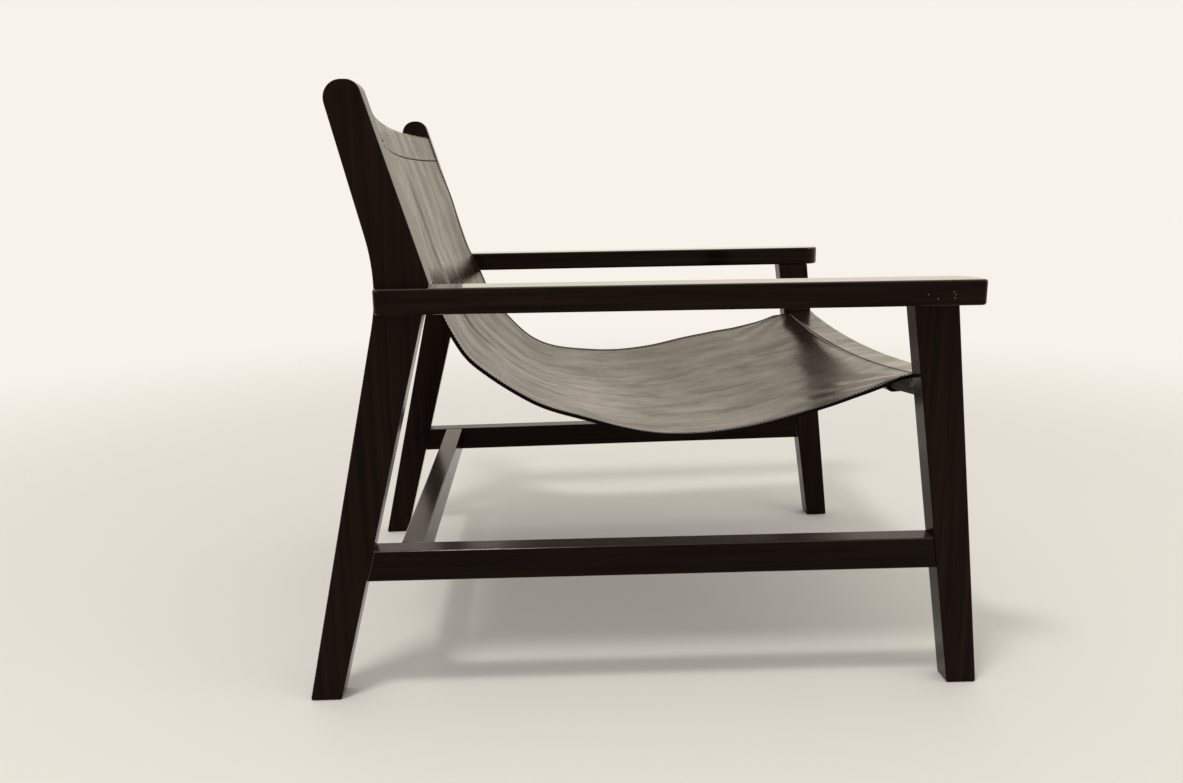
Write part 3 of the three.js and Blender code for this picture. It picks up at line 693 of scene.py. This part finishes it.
# Bridle leather: thick vegetable-tanned hide, dyed through and glazed with wax. It is near black seen
# square on, mirrors pale surroundings softly at a glance, and has streaks where it was drawn tight.
def bridleLeather():
    material, tree = newMaterial("bridle_leather")
    place = addNode(tree, "ShaderNodeUVMap", uv_map="hide")

    def stretched(width, length, **noise):
        mapped = addNode(tree, "ShaderNodeMapping", {
            "Vector": place.outputs[0], "Scale": (1 / length, 1 / width, 1)})
        return addNode(tree, "ShaderNodeTexNoise", {"Vector": mapped.outputs[0], "Scale": 1, **noise})

    streaks = stretched(tanning["streakWidth"], tanning["streakLength"], Detail=4, Roughness=0.6)
    broad = stretched(tanning["broadWidth"], tanning["broadLength"], Detail=3, Distortion=0.4)
    grain = stretched(tanning["grain"], tanning["grain"], Detail=2)
    mixed = addNode(tree, "ShaderNodeMath", {0: streaks.outputs["Fac"], 1: broad.outputs["Fac"]},
                    operation="ADD")
    lighter = addNode(tree, "ShaderNodeMapRange", {
        "Value": mixed.outputs[0], **between(tanning["colourSpread"])})
    colour = addNode(tree, "ShaderNodeMix", {
        "Factor": lighter.outputs[0], "A": toLinear(tanning["dark"]), "B": toLinear(tanning["light"])},
        data_type="RGBA")
    smooth, dull = tanning["roughness"]
    roughness = addNode(tree, "ShaderNodeMapRange", {
        "Value": mixed.outputs[0], **between(tanning["roughSpread"], (dull, smooth))})
    wax = addNode(tree, "ShaderNodeMapRange", {
        "Value": mixed.outputs[0], **between(tanning["waxSpread"], tanning["wax"])})
    along = addNode(tree, "ShaderNodeSeparateXYZ", {0: place.outputs[0]})

    def satOn(value, seatAndBack):
        worn = addNode(tree, "ShaderNodeMapRange", {
            "Value": along.outputs["X"], **between(tanning["sat"], seatAndBack)},
            interpolation_type="SMOOTHSTEP")
        return addNode(tree, "ShaderNodeMath", {0: value, 1: worn.outputs[0]}, operation="MULTIPLY")

    wax = satOn(wax.outputs[0], tanning["satWax"])
    roughness = satOn(roughness.outputs[0], tanning["satRoughness"])
    fine = addNode(tree, "ShaderNodeBump", {
        "Height": grain.outputs["Fac"], "Strength": tanning["grainRelief"],
        "Distance": tanning["grainDepth"]})
    relief = addNode(tree, "ShaderNodeBump", {
        "Height": streaks.outputs["Fac"], "Strength": tanning["streakRelief"],
        "Distance": tanning["streakDepth"], "Normal": fine.outputs[0]})
    shader = addNode(tree, "ShaderNodeBsdfPrincipled", {
        "Base Color": colour.outputs["Result"], "Roughness": roughness.outputs[0],
        "IOR": tanning["ior"], "Specular Tint": toLinear(tanning["glaze"]),
        "Coat Weight": wax.outputs[0], "Coat IOR": tanning["waxIor"],
        "Coat Roughness": tanning["waxRoughness"], "Normal": relief.outputs[0]})
    addNode(tree, "ShaderNodeOutputMaterial", {"Surface": shader.outputs[0]})
    return material


flesh = {
    "dark": "#33271f", "light": "#4c3d32", "roughness": 0.82, "ior": 1.4,
    "fibre": 2.5 * millimetre, "nap": 0.5, "napDepth": 0.4 * millimetre,
}


# The hide's flesh side: shaved and dyed but not glazed, so it is matt and softly mottled by its fibres
def fleshSide():
    material, tree = newMaterial("flesh_side")
    place = addNode(tree, "ShaderNodeUVMap", uv_map="hide")
    fibres = addNode(tree, "ShaderNodeTexNoise", {
        "Vector": place.outputs[0], "Scale": 1 / flesh["fibre"], "Detail": 5, "Roughness": 0.7})
    colour = addNode(tree, "ShaderNodeMix", {
        "Factor": fibres.outputs["Fac"], "A": toLinear(flesh["dark"]), "B": toLinear(flesh["light"])},
        data_type="RGBA")
    nap = addNode(tree, "ShaderNodeBump", {
        "Height": fibres.outputs["Fac"], "Strength": flesh["nap"], "Distance": flesh["napDepth"]})
    shader = addNode(tree, "ShaderNodeBsdfPrincipled", {
        "Base Color": colour.outputs["Result"], "Roughness": flesh["roughness"], "IOR": flesh["ior"],
        "Normal": nap.outputs[0]})
    addNode(tree, "ShaderNodeOutputMaterial", {"Surface": shader.outputs[0]})
    return material


edgePaint = plainFinish("edge_paint", "#060505", 0.6, ior=1.14)         # rolled on and left matt
waxedThread = plainFinish("waxed_thread", "#0e0a08", 0.75, ior=1.2, speckle=0.8 * millimetre)
sling = addHide(bridleLeather(), fleshSide(), edgePaint)
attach(sling, "root")
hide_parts("leather_sling")
stitches = addStitches(waxedThread)
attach(stitches, "root")


# Studio: pale floor that fades into the pale backdrop, with soft lamps
studio = {
    "backdrop": "#f7f3ea", "mirrored": "#f7ecdc", "light": "#f8f6f1", "floor": "#eae6de",
    "floorReach": 6.0, "fade": (0.8, 3.0),
    "ambient": 0.8,
    "target": (0, 0, 0.35),
    "lamps": {                 # place, length and width, and power in watts
        "overhead": ((-1.1, 0.6, 3.0), (0.5, 0.3), 28),
        "front": ((-1.3, -2.4, 2.2), (1.6, 1.6), 7),
    },
}


# A pale backdrop for camera and transmission rays, a warmer one for glossy rays, which gives oil and wax
# a warm sheen, and a softer one for the light it gives
def addWorld():
    world = bpy.data.worlds.new("studio")
    world.use_nodes = True
    tree = world.node_tree
    tree.nodes.clear()
    rays = addNode(tree, "ShaderNodeLightPath")
    through = addNode(tree, "ShaderNodeMath", {
        0: rays.outputs["Is Camera Ray"], 1: rays.outputs["Is Transmission Ray"]}, operation="MAXIMUM")
    shown = addNode(tree, "ShaderNodeMath", {0: through.outputs[0], 1: rays.outputs["Is Glossy Ray"]},
                    operation="MAXIMUM")
    unseen = addNode(tree, "ShaderNodeMix", {
        "Factor": rays.outputs["Is Glossy Ray"], "A": toLinear(studio["light"]),
        "B": toLinear(studio["mirrored"])}, data_type="RGBA")
    colour = addNode(tree, "ShaderNodeMix", {
        "Factor": through.outputs[0], "A": unseen.outputs["Result"], "B": toLinear(studio["backdrop"])},
        data_type="RGBA")
    strength = addNode(tree, "ShaderNodeMix", {
        "Factor": shown.outputs[0], "A": studio["ambient"], "B": 1.0}, data_type="FLOAT")
    background = addNode(tree, "ShaderNodeBackground", {
        "Color": colour.outputs["Result"], "Strength": strength.outputs[0]})
    addNode(tree, "ShaderNodeOutputWorld", {"Surface": background.outputs[0]})
    bpy.context.scene.world = world


def addFloor():
    material, tree = newMaterial("floor")
    place = addNode(tree, "ShaderNodeTexCoord")
    distance = addNode(tree, "ShaderNodeVectorMath", {0: place.outputs["Object"]}, operation="LENGTH")
    fade = addNode(tree, "ShaderNodeMapRange", {
        "Value": distance.outputs["Value"], **between(studio["fade"])}, interpolation_type="SMOOTHSTEP")
    matt = addNode(tree, "ShaderNodeBsdfDiffuse", {"Color": toLinear(studio["floor"])})
    clear = addNode(tree, "ShaderNodeBsdfTransparent")
    mixed = addNode(tree, "ShaderNodeMixShader", {
        0: fade.outputs[0], 1: matt.outputs[0], 2: clear.outputs[0]})
    addNode(tree, "ShaderNodeOutputMaterial", {"Surface": mixed.outputs[0]})
    reach = studio["floorReach"]
    corners = np.array([(-reach, -reach, 0), (reach, -reach, 0), (reach, reach, 0), (-reach, reach, 0)])
    mesh = newMesh("floor", corners, np.array([(0, 1, 2, 3)]))
    mesh.materials.append(material)
    placed("floor", mesh)


def addLamps():
    target = Vector(studio["target"])
    for name, (place, (length, width), power) in studio["lamps"].items():
        data = bpy.data.lights.new(name, "AREA")
        data.shape = "RECTANGLE"
        data.size, data.size_y = length, width
        data.energy = power
        lamp = placed(name, data)
        lamp.location = place
        lamp.rotation_euler = (target - lamp.location).to_track_quat("-Z", "Y").to_euler()


addWorld()
addFloor()
addLamps()
bpy.context.scene.view_settings.view_transform = "Standard"
print("studio lit")
